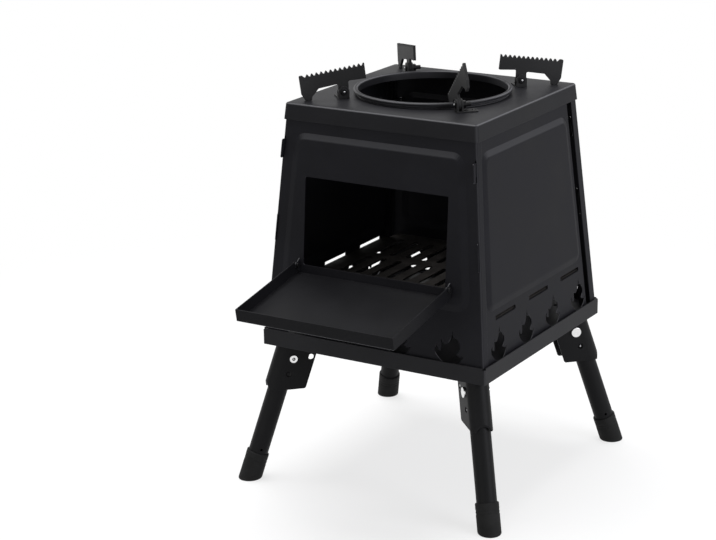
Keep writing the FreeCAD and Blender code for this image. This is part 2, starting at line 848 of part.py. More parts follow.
def pot_bracket(turn, side):
    """Foot plate with two upright ears that hold a support's pin, riveted down behind them."""
    deep = bracket_depth / 2
    inner = support_sheet / 2 + bracket_fit
    foot = block(Vector(-deep, 0, -inner - bracket_sheet), Vector(deep, heavy_sheet, bracket_reach))
    uprights = []
    for edge in foot.Edges:
        box = edge.BoundBox
        if box.YLength > pin_fit and box.ZMin > 0:
            if box.XLength < pin_fit and box.ZLength < pin_fit:
                uprights.append(edge)
    foot = foot.makeFillet(bracket_corner, uprights)
    ear = plate(((-deep, heavy_sheet / 2), (deep, heavy_sheet / 2), (deep, bracket_height, deep - pin_fit),
                 (-deep, bracket_height, deep - pin_fit)), bracket_sheet)
    ear = ear.cut(shifted(disc(support_pin + 2 * pin_fit, bracket_sheet), 0, support_pin_height, 0))
    bracket = foot.fuse(shifted(ear, 0, 0, inner)).fuse(shifted(ear, 0, 0, -inner - bracket_sheet))
    for place in bracket_rivet_places:
        centre = Vector(0, -overrun / 2, place)
        hole = Part.makeCylinder(bracket_rivet / 2 + pin_fit, overrun, centre, Vector(0, 1, 0))
        bracket = bracket.cut(hole)
    return radial_frame(facing(bracket, side), turn, support_radius, cap_height)


def pot_pin(turn, side):
    """Bolt of a pot support: a peened head outside the front ear and a nut on its rear end."""
    half = support_sheet / 2 + bracket_fit + bracket_sheet
    rod = shifted(disc(support_pin, half + support_pin_end), 0, 0, -half)
    head = disc(support_pin_head, support_pin_head_height)
    head = head.makeFillet(support_pin_head_height / 2, top_edges(head, support_pin_head_height))
    peen = shifted(dome(support_pin_peen, support_pin_peen_height), 0, 0, support_pin_head_height)
    head = head.fuse(peen).mirror(Vector(0, 0, 0), up)
    corner = support_nut_flats / 2 / math.cos(math.pi / 6)
    points = []
    for i in range(6):
        angle = math.pi / 3 * i
        points.append((corner * math.cos(angle), corner * math.sin(angle)))
    nut = shifted(plate(points, support_nut_height), 0, 0, half)
    pin = rod.fuse(shifted(head, 0, 0, -half)).fuse(nut)
    return radial_frame(facing(pin, side), turn, support_radius, cap_height + support_pin_height)


def bracket_rivet_rods(extra, side):
    """The two rivet shanks of a bracket on the X axis's corner, wider by extra."""
    rods = []
    for place in bracket_rivet_places:
        low = plate_under - overrun / 2
        centre = Vector(support_radius, -side * place, low)
        rods.append(Part.makeCylinder((bracket_rivet + extra) / 2, overrun, centre))
    return rods


def bracket_rivets(turn, side):
    """Two rivets through a bracket's foot and the top plate."""
    rivets = []
    for place in bracket_rivet_places:
        height = 2 * heavy_sheet
        rivet = shifted(disc(bracket_rivet, height), 0, 0, -height)
        rivet = rivet.fuse(dome(bracket_rivet_head, bracket_rivet_dome))
        tail = dome(bracket_rivet_head, bracket_rivet_dome).mirror(Vector(0, 0, 0), up)
        rivet = rivet.fuse(shifted(tail, 0, 0, -height))
        rivet = shifted(rivet, support_radius, -side * place, cap_height + heavy_sheet)
        rivets.append(turned(rivet, turn))
    return rivets


def leg_frame(shape, turn):
    """Shape made with x out, y up a leg and z sideways from its pivot, moved to its corner."""
    angle = math.radians(turn)
    radial = Vector(math.cos(angle), math.sin(angle), 0)
    out = radial * math.cos(leg_angle) + up * math.sin(leg_angle)
    along = up * math.cos(leg_angle) - radial * math.sin(leg_angle)
    return placed(shape, radial * pivot_radius - up * pivot_drop, out, along)


def sideways(diameter, half_length, x, y):
    """Rod across a leg, centred on its middle plane."""
    return shifted(disc(diameter, 2 * half_length), x, y, -half_length)


def head_foot(out):
    """How far along the leg its head's level lower edge lies, at a distance out from the pivot."""
    return -(head_foot_drop + out * math.sin(leg_angle)) / math.cos(leg_angle)


def leg_head(turn):
    """U-shaped sheet round the top of the tube, its two ears pierced for the pivot bolt."""
    nose = head_nose_out - head_half
    profile = (
        (nose, head_nose_top),
        (-head_top_out, head_top, head_corner),
        (-head_neck_out, head_neck, head_corner),
        (-head_shoulder_out, head_shoulder, head_corner / 4),
        (-head_inner, head_side_top, head_corner / 4),
        (-head_inner, head_foot(-head_inner), head_corner),
        (head_nose_out - head_chamfer, head_foot(head_nose_out - head_chamfer)),
        (head_nose_out, head_foot(head_nose_out) + head_chamfer_rise, head_corner),
        (head_nose_out, head_nose_top),
    )
    solid = shifted(plate(profile, 2 * head_half), 0, 0, -head_half)

    def u_block(half):
        low = Vector(-head_inner - overrun, -tube_end, -half)
        body = block(low, Vector(nose, tube_end, half))
        round_part = Part.makeCylinder(half, 2 * tube_end, Vector(nose, -tube_end, 0), Vector(0, 1, 0))
        return body.fuse(round_part)

    inner = u_block(head_half - heavy_sheet)
    head = u_block(head_half).cut(inner).common(solid)
    head = head.cut(sideways(pivot_bolt + 2 * pin_fit, head_half + overrun, 0, 0))
    head = head.cut(sideways(lock_hole, head_half + overrun, -lock_hole_out, lock_hole_up))
    head = head.cut(sideways(cross_pin_bore, head_half + overrun, 0, -cross_pin_place))
    return leg_frame(head, turn)


def tube_rod(diameter, start, end):
    """Round bar along the leg's tube, from one distance down the leg to another."""
    return Part.makeCylinder(diameter / 2, end - start, Vector(tube_out, -end, 0), Vector(0, 1, 0))


def leg_tube(turn):
    """Straight tube from inside the head to inside the foot cap."""
    tube = tube_rod(tube_diameter, tube_top, tube_end)
    tube = tube.cut(tube_rod(tube_diameter - 2 * tube_wall, tube_top - overrun, tube_end + overrun))
    tube = tube.cut(sideways(cross_pin + 2 * pin_fit, head_half + overrun, 0, -cross_pin_place))
    tube = tube.cut(sideways(tube_eyelet, head_half + overrun, tube_out, -tube_eyelet_place))
    return leg_frame(tube, turn)


def foot_cap(turn):
    """Rubber cap on the tube's end, its sole cut level with the ground."""
    length = tube_end + overrun + cap_diameter
    cap = tube_rod(cap_diameter, cap_top, length)
    lip = []
    for edge in cap.Edges:
        if abs(edge.BoundBox.YMin + cap_top) < pin_fit and edge.BoundBox.YLength < pin_fit:
            lip.append(edge)
    cap = cap.makeFillet(cap_lip, lip)
    cap = leg_frame(cap, turn)
    reach = pivot_radius + tube_end
    ground = block(Vector(-reach, -reach, -2 * ground_height), Vector(reach, reach, -ground_height))
    cap = cap.cut(ground)
    sole = [e for e in cap.Edges if abs(e.BoundBox.ZMax + ground_height) < pin_fit]
    cap = cap.makeFillet(cap_edge, sole)
    bore = tube_rod(tube_diameter + 2 * cap_bore_fit, cap_top - overrun, tube_end)
    return cap.cut(leg_frame(bore, turn))


def cross_pin_solid(turn):
    """Pin that holds the tube in the head, sunk a little into both ears."""
    rod = sideways(cross_pin, head_half - cross_pin_recess, 0, -cross_pin_place)
    return leg_frame(rod, turn)


def pivot_bolt_solid(turn):
    """Bolt that a leg folds on: seen from outside, its flat head is on the left and its hollow end on the right."""
    outer = head_half + touch_gap
    rod = sideways(pivot_bolt, outer, 0, 0)
    head = disc(pivot_bolt_head, pivot_bolt_head_height)
    head = head.makeFillet(pivot_bolt_edge, top_edges(head, pivot_bolt_head_height))
    tail = disc(pivot_bolt_tail, pivot_bolt_tail_height)
    tail = tail.makeFillet(pivot_bolt_edge, top_edges(tail, pivot_bolt_tail_height))
    hollow = shifted(disc(pivot_bolt_tail_bore, pivot_bolt_tail_height), 0, 0, pivot_bolt_tail_height / 2)
    tail = tail.cut(hollow)
    bolt = rod.fuse(shifted(head.mirror(Vector(0, 0, 0), up), 0, 0, -outer))
    bolt = bolt.fuse(shifted(tail, 0, 0, outer))
    return leg_frame(bolt.mirror(Vector(0, 0, 0), up), turn)


def pivot_washers(turn):
    """Washers between a leg's ears and the lugs of its mount."""
    inner = mount_width / 2
    thickness = head_half - heavy_sheet - inner - pin_fit * 2
    ring = disc(pivot_washer, thickness).cut(disc(pivot_bolt + 2 * pin_fit, thickness))
    right = shifted(ring, 0, 0, -inner - thickness)
    left = shifted(ring, 0, 0, inner)
    return [leg_frame(right, turn), leg_frame(left, turn)]


def leg_mount(turn):
    """Channel under the floor, whose two lugs hold the pivot bolt and stop the leg's head."""
    top = floor_height + pivot_drop
    half = mount_width / 2
    stop = head_nose_out - head_half + math.sqrt((head_half - heavy_sheet) ** 2 - half ** 2) - touch_gap
    out = Vector(math.cos(leg_angle), math.sin(leg_angle))
    rise = Vector(-math.sin(leg_angle), math.cos(leg_angle))
    stop_low = out * stop
    stop_high = stop_low + rise * mount_stop_top
    points = (
        (-mount_reach, top), (-mount_reach, mount_low), (-mount_lug_reach, mount_low), (-mount_lug, 0.0),
        (0.0, 0.0), (stop_low.x, stop_low.y), (stop_high.x, stop_high.y), (stop_high.x, top),
    )
    lug = plate(points, mount_sheet).fuse(disc(2 * mount_lug, mount_sheet))
    lug = lug.cut(disc(pivot_bolt + 2 * pin_fit, mount_sheet)).removeSplitter()
    web = block(Vector(-mount_reach, top - mount_sheet, -half), Vector(stop_high.x, top, half))
    mount = web.fuse(shifted(lug, 0, 0, -half)).fuse(shifted(lug, 0, 0, half - mount_sheet))
    for share in mount_rivet_shares:
        centre = Vector(-share * mount_reach, top - overrun / 2, 0)
        mount = mount.cut(Part.makeCylinder(mount_rivet / 2 + pin_fit, overrun, centre, Vector(0, 1, 0)))
    return radial_frame(mount, turn, pivot_radius, -pivot_drop)


def mount_rivets(turn):
    """Rivets through a leg mount and the floor."""
    rivets = []
    for share in mount_rivet_shares:
        height = heavy_sheet + mount_sheet
        rivet = shifted(disc(mount_rivet, height), 0, 0, -height)
        rivet = rivet.fuse(dome(mount_rivet_head, mount_rivet_dome))
        tail = dome(mount_rivet_head, mount_rivet_dome).mirror(Vector(0, 0, 0), up)
        rivet = rivet.fuse(shifted(tail, 0, 0, -height))
        rivets.append(turned(shifted(rivet, pivot_radius - share * mount_reach, 0, floor_top), turn))
    return rivets


def drilled_tray():
    """Base tray with the holes of the leg mounts' rivets."""
    tray = base_tray()
    for turn in corner_turns.values():
        for share in mount_rivet_shares:
            centre = Vector(pivot_radius - share * mount_reach, 0, floor_top - overrun)
            hole = Part.makeCylinder(mount_rivet / 2 + pin_fit, 2 * overrun, centre)
            tray = tray.cut(turned(hole, turn))
    return tray


def build():
    """Every piece at rest, in the stove's own place before it is set on the ground."""
    right = side_panel()
    parts["base_tray"] = drilled_tray()
    parts["front_panel"] = front_panel()
    parts["rear_panel"] = rear_panel()
    parts["right_panel"] = right
    parts["left_panel"] = right.mirror(Vector(0, 0, 0), Vector(1, 0, 0))
    parts["top_plate"] = top_plate()
    parts["fire_grate"] = fire_grate()
    parts["feed_door"] = feed_door()
    parts["door_pins"] = door_pins()
    lean = support_lean()
    pins = []
    bracket_group = []
    washers = []
    mount_group = []
    for name, turn in corner_turns.items():
        parts["pot_support_" + name] = pot_support(turn, lean if name == "fr" else 0.0)
        parts["pot_bracket_" + name] = pot_bracket(turn, bracket_sides[name])
        parts["leg_mount_" + name] = leg_mount(turn)
        parts["leg_head_" + name] = leg_head(turn)
        parts["leg_tube_" + name] = leg_tube(turn)
        parts["foot_cap_" + name] = foot_cap(turn)
        parts["cross_pin_" + name] = cross_pin_solid(turn)
        parts["pivot_bolt_" + name] = pivot_bolt_solid(turn)
        pins.append(pot_pin(turn, bracket_sides[name]))
        bracket_group += bracket_rivets(turn, bracket_sides[name])
        washers += pivot_washers(turn)
        mount_group += mount_rivets(turn)
    parts["pot_support_pins"] = Part.makeCompound(pins)
    parts["bracket_rivets"] = Part.makeCompound(bracket_group)
    parts["pivot_washers"] = Part.makeCompound(washers)
    parts["mount_rivets"] = Part.makeCompound(mount_group)


def stand_offset():
    """Move that sets the stove on the ground, the middle of its open box over the origin."""
    front = parts["feed_door"].BoundBox.YMin
    rear = parts["foot_cap_rl"].optimalBoundingBox(False, False).YMax
    return Vector(0, -(front + rear) / 2, ground_height)


def export():
    os.makedirs("parts", exist_ok=True)
    offset = stand_offset()
    for name, shape in parts.items():
        standing = shape.copy()
        standing.translate(offset)
        standing.exportStep("parts/" + name + ".step")
        box = standing.BoundBox
        print(f"{name:20s} solids {len(standing.Solids):2d} valid {standing.isValid()} "
              f"volume {standing.Volume:10.1f} x {box.XMin:7.1f} {box.XMax:7.1f} "
              f"y {box.YMin:7.1f} {box.YMax:7.1f} z {box.ZMin:7.1f} {box.ZMax:7.1f}")
    print("offset", offset, "support lean", support_lean())


build()
export()
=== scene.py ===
"""Camping wood stove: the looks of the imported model, its pieces, paint, studio and camera."""
import json
import math

import bmesh
import bpy
import numpy as np
from bpy.props import FloatProperty, FloatVectorProperty, IntProperty, PointerProperty
from mathutils import Matrix, Vector


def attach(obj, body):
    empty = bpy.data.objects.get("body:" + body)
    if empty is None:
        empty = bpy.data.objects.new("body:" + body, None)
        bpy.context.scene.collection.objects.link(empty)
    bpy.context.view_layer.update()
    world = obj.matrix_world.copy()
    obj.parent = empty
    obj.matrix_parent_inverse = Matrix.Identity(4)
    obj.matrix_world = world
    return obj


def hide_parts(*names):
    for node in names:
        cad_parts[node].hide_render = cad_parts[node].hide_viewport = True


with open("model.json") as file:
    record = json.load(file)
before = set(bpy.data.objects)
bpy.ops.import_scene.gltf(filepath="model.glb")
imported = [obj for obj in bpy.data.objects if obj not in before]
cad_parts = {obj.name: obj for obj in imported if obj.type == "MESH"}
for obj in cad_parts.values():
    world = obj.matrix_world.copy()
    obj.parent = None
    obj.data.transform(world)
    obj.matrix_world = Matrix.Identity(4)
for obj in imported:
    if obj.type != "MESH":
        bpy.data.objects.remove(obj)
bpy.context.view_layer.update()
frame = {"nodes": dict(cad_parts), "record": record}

bl_info = {
    "name": "Camping wood stove",
    "version": (1, 0, 0),
    "blender": (4, 5, 0),
    "location": "3D View > Sidebar > Stove",
    "description": "Builds a folding-leg wood stove of pressed sheet steel with its paint and studio",
    "category": "Add Mesh",
}

mm = 0.001
corner_turns = {"fl": 225.0, "fr": 315.0, "rl": 135.0, "rr": 45.0}
upward = np.array([0.0, 0.0, 1.0])

# The stove's middle and the base's lower edge in the frame.
body_y = 46.86233044846588 * mm
base_z = 171.0 * mm

# The camera: its direction in degrees, its distance and offsets in millimetres, its focal length in pixels.
view_azimuth, view_elevation, view_roll = 31.7, 17.23, -0.88
view_distance, view_left, view_above = 2490.02, 92.76, 70.52
focal_pixels = 2037.16
picture_width = 716.0
film_width = 36.0

# Each lamp: its place, the height that it faces on the stove's axis, its width, height, watts and colour.
studio_lights = {
    "top_light": ((-0.4, 0.1, 2.4), 0.3, 1.4, 1.4, 60.0, (1.0, 1.0, 1.0)),
    "right_light": ((2.4, -0.1, 1.1), 0.25, 1.4, 1.6, 40.0, (0.93, 0.94, 1.0)),
    "front_light": ((-0.5, -2.6, 0.35), 0.25, 2.0, 0.6, 5.5, (1.0, 1.0, 1.0)),
    "rear_light": ((-2.7, 0.9, 1.0), 0.3, 1.4, 1.4, 10.0, (1.0, 1.0, 1.0)),
}

# The legs: their lean, and their pivots' distance from the stove's axis and height above the ground.
leg_tilt = math.radians(18.4)
pivot_radius = 178.5 * mm
pivot_height = base_z - 18.0 * mm
tube_out = 4.0 * mm
head_half = 13.6 * mm

# Radius of the small ring that ends a pin, a bolt's face or a foot at its axis.
pole = 0.001 * mm

# Pins and bolts.
cross_pin_drop = 20.4 * mm
cross_pin_recess = 0.9 * mm
cross_pin_radius = 2.6 * mm
cross_pin_tip = 2.2 * mm
cross_pin_edge = 0.4 * mm
# Where the black disc that paints the shade in each bolt's bore sits, and the bright dot on it.
bolt_bore_floor = 1.2 * mm
bolt_spot_floor = 1.32 * mm
support_pin_radius = 108.5 * mm
support_pin_height = 301.75 * mm
support_pin_face = 5.75 * mm

# The cap's bends.
cap_corner = 4.0 * mm
cap_fold = 2.5 * mm
least_corner = 0.4 * mm
collar_foot = 1.0 * mm
inner_fold = 1.0 * mm
bead_start, bead_end = -64, 180

# The rubber feet, as distances down the leg from its pivot.
foot_top = 127.0 * mm
bore_end = 154.0 * mm
foot_edge = 1.8 * mm
foot_lip = 1.2 * mm
bore_fit = 0.05 * mm
groove_places = (9.0 * mm, 12.5 * mm)
groove_depth = 0.55 * mm
groove_width = 0.7 * mm


class StoveColours(bpy.types.PropertyGroup):
    """Colours of the stove's finishes"""

    wall: FloatVectorProperty(
        name="Wall paint", description="Heat-resistant paint of the walls", subtype="COLOR",
        size=3, min=0.0, max=1.0, default=(0.0095, 0.0095, 0.0115))
    base: FloatVectorProperty(
        name="Base paint", description="Paint of the base and its rim", subtype="COLOR",
        size=3, min=0.0, max=1.0, default=(0.013, 0.013, 0.0145))
    door: FloatVectorProperty(
        name="Door paint", description="Paint of the feed door", subtype="COLOR",
        size=3, min=0.0, max=1.0, default=(0.0065, 0.0065, 0.0075))
    # Painted highlight: a light colour laid on the sheet's bends, where the lamps would put a sheen.
    bend: FloatVectorProperty(
        name="Painted bend highlight", description="Highlight painted on the sheet's bends", subtype="COLOR",
        size=3, min=0.0, max=1.0, default=(0.085, 0.085, 0.09))
    top: FloatVectorProperty(
        name="Top paint", description="Paint of the cap and its collar", subtype="COLOR",
        size=3, min=0.0, max=1.0, default=(0.011, 0.011, 0.0125))
    leg: FloatVectorProperty(
        name="Leg paint", description="Paint of the leg heads and tubes", subtype="COLOR",
        size=3, min=0.0, max=1.0, default=(0.006, 0.006, 0.0065))
    support: FloatVectorProperty(
        name="Support paint", description="Paint of the pot supports and their brackets", subtype="COLOR",
        size=3, min=0.0, max=1.0, default=(0.018, 0.018, 0.0185))
    grate: FloatVectorProperty(
        name="Grate iron", description="Heat-darkened iron of the fire grate", subtype="COLOR",
        size=3, min=0.0, max=1.0, default=(0.009, 0.008, 0.0075))
    steel: FloatVectorProperty(
        name="Plain steel", description="Pins and washers", subtype="COLOR",
        size=3, min=0.0, max=1.0, default=(0.45, 0.45, 0.46))
    bolt: FloatVectorProperty(
        name="Polished bolt", description="Bolts that the legs fold on", subtype="COLOR",
        size=3, min=0.0, max=1.0, default=(0.8, 0.8, 0.8))
    rubber: FloatVectorProperty(
        name="Foot rubber", description="Caps on the feet", subtype="COLOR",
        size=3, min=0.0, max=1.0, default=(0.007, 0.007, 0.007))
    floor: FloatVectorProperty(
        name="Studio floor", description="Ground and background", subtype="COLOR",
        size=3, min=0.0, max=1.0, default=(0.85, 0.85, 0.85))


class StoveSizes(bpy.types.PropertyGroup):
    """Sizes of the pieces that are made here, in metres"""

    edge: FloatProperty(
        name="Edge softness", description="Radius that paint gives to a sheet's edges", subtype="DISTANCE",
        unit="LENGTH", default=0.7 * mm)
    cap_half: FloatProperty(
        name="Cap half width", description="Half the width of the cap at its top", subtype="DISTANCE",
        unit="LENGTH", default=126.375 * mm)
    cap_skirt: FloatProperty(
        name="Cap skirt", description="Height of the cap's skirt", subtype="DISTANCE",
        unit="LENGTH", default=19.5 * mm)
    cap_flare: FloatProperty(
        name="Skirt flare", description="How far the skirt spreads at its foot", subtype="DISTANCE",
        unit="LENGTH", default=1.6934 * mm)
    cap_height: FloatProperty(
        name="Cap height", description="Height of the cap's top above the base's lower edge",
        subtype="DISTANCE", unit="LENGTH", default=293.25 * mm)
    sheet: FloatProperty(
        name="Heavy sheet", description="Thickness of the cap, base and leg heads", subtype="DISTANCE",
        unit="LENGTH", default=1.5 * mm)
    collar_radius: FloatProperty(
        name="Collar radius", description="Inner radius of the collar", subtype="DISTANCE",
        unit="LENGTH", default=88.5 * mm)
    collar_height: FloatProperty(
        name="Collar height", description="Height of the collar's bead above the cap", subtype="DISTANCE",
        unit="LENGTH", default=7.7 * mm)
    collar_bead: FloatProperty(
        name="Bead radius", description="Radius of the rolled bead on the collar", subtype="DISTANCE",
        unit="LENGTH", default=2.7 * mm)
    tube_radius: FloatProperty(
        name="Leg tube radius", description="Outer radius of a leg's tube", subtype="DISTANCE",
        unit="LENGTH", default=12.0 * mm)
    foot_radius: FloatProperty(
        name="Foot radius", description="Outer radius of a foot cap", subtype="DISTANCE",
        unit="LENGTH", default=13.8 * mm)
    foot_ribs: IntProperty(
        name="Foot grooves", description="Grooves round a foot cap", min=0, max=2, default=2)


def colours():
    """The stove's colours in this scene."""
    return bpy.context.scene.stove_colours


def sizes():
    """The stove's sizes in this scene."""
    return bpy.context.scene.stove_sizes


def rgba(colour):
    """Opaque colour."""
    return (*colour, 1.0)


def bare_material(name):
    """New material with only its surface shader and output, given with its tree and its shader."""
    material = bpy.data.materials.new(name)
    material.use_nodes = True
    tree = material.node_tree
    shader = tree.nodes["Principled BSDF"]
    return material, tree, shader


def noise(tree, scale, detail, roughness=0.5):
    """Noise on the object's own coordinates; scale is in repeats to the metre."""
    coords = tree.nodes.new("ShaderNodeTexCoord")
    node = tree.nodes.new("ShaderNodeTexNoise")
    node.inputs["Scale"].default_value = scale
    node.inputs["Detail"].default_value = detail
    node.inputs["Roughness"].default_value = roughness
    tree.links.new(coords.outputs["Object"], node.inputs["Vector"])
    return node


def span(tree, value, low, high, to_low, to_high):
    """Maps a value from one range to another, held at both ends."""
    node = tree.nodes.new("ShaderNodeMapRange")
    node.inputs["From Min"].default_value = low
    node.inputs["From Max"].default_value = high
    node.inputs["To Min"].default_value = to_low
    node.inputs["To Max"].default_value = to_high
    tree.links.new(value, node.inputs["Value"])
    return node.outputs["Result"]


def mixed(tree, factor, first, second):
    """Blend of two colours by a factor; each colour is a tuple or a socket."""
    node = tree.nodes.new("ShaderNodeMix")
    node.data_type = "RGBA"
    tree.links.new(factor, node.inputs[0])
    for socket, colour in ((node.inputs[6], first), (node.inputs[7], second)):
        if isinstance(colour, tuple):
            socket.default_value = colour
        else:
            tree.links.new(colour, socket)
    return node.outputs[2]


def soft_edge(tree, radius):
    """Normal that rounds every edge by a radius, and how much a point lies on such an edge, 0 to 1."""
    bevel = tree.nodes.new("ShaderNodeBevel")
    bevel.samples = 6
    bevel.inputs["Radius"].default_value = radius
    geometry = tree.nodes.new("ShaderNodeNewGeometry")
    dot = tree.nodes.new("ShaderNodeVectorMath")
    dot.operation = "DOT_PRODUCT"
    tree.links.new(bevel.outputs["Normal"], dot.inputs[0])
    tree.links.new(geometry.outputs["Normal"], dot.inputs[1])
    edge = span(tree, dot.outputs["Value"], 0.99, 0.8, 0.0, 1.0)
    return bevel.outputs["Normal"], edge


def bumped(tree, height, distance, strength, normal=None):
    """Normal disturbed by a height map of a depth in metres."""
    bump = tree.nodes.new("ShaderNodeBump")
    bump.inputs["Distance"].default_value = distance
    bump.inputs["Strength"].default_value = strength
    tree.links.new(height, bump.inputs["Height"])
    if normal is not None:
        tree.links.new(normal, bump.inputs["Normal"])
    return bump.outputs["Normal"]


def bend_highlight_mask(tree, upright):
    """How much a point lies on a bend of a box, 0 to 1: there the normal leans between two of its sides. It
    masks the highlight painted on the bends.

    An upright bend only reaches the share that is given for it.
    """
    geometry = tree.nodes.new("ShaderNodeNewGeometry")
    local = tree.nodes.new("ShaderNodeVectorTransform")
    local.vector_type = "NORMAL"
    local.convert_from = "WORLD"
    local.convert_to = "OBJECT"
    tree.links.new(geometry.outputs["True Normal"], local.inputs[0])
    split = tree.nodes.new("ShaderNodeSeparateXYZ")
    tree.links.new(local.outputs[0], split.inputs[0])
    largest = None
    for first, second, full in (("X", "Y", upright), ("X", "Z", 1.0), ("Y", "Z", 1.0)):
        product = tree.nodes.new("ShaderNodeMath")
        product.operation = "MULTIPLY"
        tree.links.new(split.outputs[first], product.inputs[0])
        tree.links.new(split.outputs[second], product.inputs[1])
        size = tree.nodes.new("ShaderNodeMath")
        size.operation = "ABSOLUTE"
        tree.links.new(product.outputs[0], size.inputs[0])
        share = span(tree, size.outputs[0], 0.28, 0.46, 0.0, full)
        if largest is None:
            largest = share
        else:
            either = tree.nodes.new("ShaderNodeMath")
            either.operation = "MAXIMUM"
            tree.links.new(largest, either.inputs[0])
            tree.links.new(share, either.inputs[1])
            largest = either.outputs[0]
    return largest


def paint(name, colour, rough, grain, wear_and_highlight, level=0.1, bend_highlight_colour=None):
    """Heat-resistant paint: a fine grain, faint cloudiness, and sharp edges lighter in scuffed patches,
    partly scuffed paint and partly a painted highlight.

    With a bend highlight colour, the bends of the sheet take that colour as a painted highlight.
    """
    material, tree, shader = bare_material(name)
    normal, edge = soft_edge(tree, sizes().edge)
    cloud = noise(tree, scale=14.0, detail=3.0)
    fine = noise(tree, scale=1500.0, detail=2.0)
    scuff = noise(tree, scale=90.0, detail=5.0, roughness=0.65)
    dark = rgba([channel * 0.86 for channel in colour])
    light = rgba([channel * 1.14 for channel in colour])
    body = mixed(tree, span(tree, cloud.outputs["Fac"], 0.35, 0.65, 0.0, 1.0), dark, light)
    # Lighter sharp edges in scuffed patches: partly scuffed paint, partly a painted highlight along the
    # edges.
    rubbed_and_highlit = tree.nodes.new("ShaderNodeMath")
    rubbed_and_highlit.operation = "MULTIPLY"
    tree.links.new(edge, rubbed_and_highlit.inputs[0])
    tree.links.new(span(tree, scuff.outputs["Fac"], 0.45, 0.62, wear_and_highlight * 0.3, wear_and_highlight), rubbed_and_highlit.inputs[1])
    worn_and_highlit = rgba([min(1.0, channel * 3.2 + 0.01) for channel in colour])
    base = mixed(tree, rubbed_and_highlit.outputs[0], body, worn_and_highlit)
    # Painted highlight: the bends, where the normal leans between two sides, take the light bend colour.
    if bend_highlight_colour is not None:
        base = mixed(tree, bend_highlight_mask(tree, 0.18), base, rgba(bend_highlight_colour))
    tree.links.new(base, shader.inputs["Base Color"])
    tree.links.new(span(tree, cloud.outputs["Fac"], 0.3, 0.7, *rough), shader.inputs["Roughness"])
    tree.links.new(bumped(tree, fine.outputs["Fac"], grain, 0.6, normal), shader.inputs["Normal"])
    shader.inputs["Specular IOR Level"].default_value = level
    return material


def dark_iron(name, colour):
    """Bare iron that fire has darkened: blotched colour and a rough, scaly skin."""
    material, tree, shader = bare_material(name)
    normal, _ = soft_edge(tree, sizes().edge)
    blotch = noise(tree, scale=60.0, detail=6.0, roughness=0.6)
    scale = noise(tree, scale=700.0, detail=4.0)
    ash = rgba([channel * 1.8 + 0.002 for channel in colour])
    tree.links.new(mixed(tree, span(tree, blotch.outputs["Fac"], 0.45, 0.7, 0.0, 1.0), rgba(colour), ash),
                   shader.inputs["Base Color"])
    tree.links.new(span(tree, blotch.outputs["Fac"], 0.3, 0.7, 0.55, 0.85), shader.inputs["Roughness"])
    tree.links.new(bumped(tree, scale.outputs["Fac"], 0.12 * mm, 0.7, normal), shader.inputs["Normal"])
    shader.inputs["Specular IOR Level"].default_value = 0.08
    return material


def bright_metal(name, colour, rough, scratch):
    """Turned or polished steel with fine scratches round its surface."""
    material, tree, shader = bare_material(name)
    normal, _ = soft_edge(tree, 0.25 * mm)
    streak = noise(tree, scale=900.0, detail=3.0, roughness=0.6)
    cloud = noise(tree, scale=200.0, detail=2.0)
    shade = rgba([channel * 0.82 for channel in colour])
    tree.links.new(mixed(tree, cloud.outputs["Fac"], shade, rgba(colour)), shader.inputs["Base Color"])
    tree.links.new(span(tree, streak.outputs["Fac"], 0.3, 0.7, *rough), shader.inputs["Roughness"])
    tree.links.new(bumped(tree, streak.outputs["Fac"], scratch, 0.4, normal), shader.inputs["Normal"])
    shader.inputs["Metallic"].default_value = 1.0
    return material


def soft_rubber(name, colour):
    """Moulded rubber: matt, with a fine pitted skin and a dusty bloom."""
    material, tree, shader = bare_material(name)
    normal, _ = soft_edge(tree, sizes().edge)
    pits = noise(tree, scale=1100.0, detail=2.0)
    bloom = noise(tree, scale=45.0, detail=4.0, roughness=0.6)
    dusty = rgba([channel * 1.7 + 0.004 for channel in colour])
    tree.links.new(mixed(tree, span(tree, bloom.outputs["Fac"], 0.45, 0.75, 0.0, 1.0), rgba(colour), dusty),
                   shader.inputs["Base Color"])
    tree.links.new(span(tree, bloom.outputs["Fac"], 0.3, 0.7, 0.62, 0.8), shader.inputs["Roughness"])
    tree.links.new(bumped(tree, pits.outputs["Fac"], 0.05 * mm, 0.6, normal), shader.inputs["Normal"])
    shader.inputs["Specular IOR Level"].default_value = 0.12
    return material


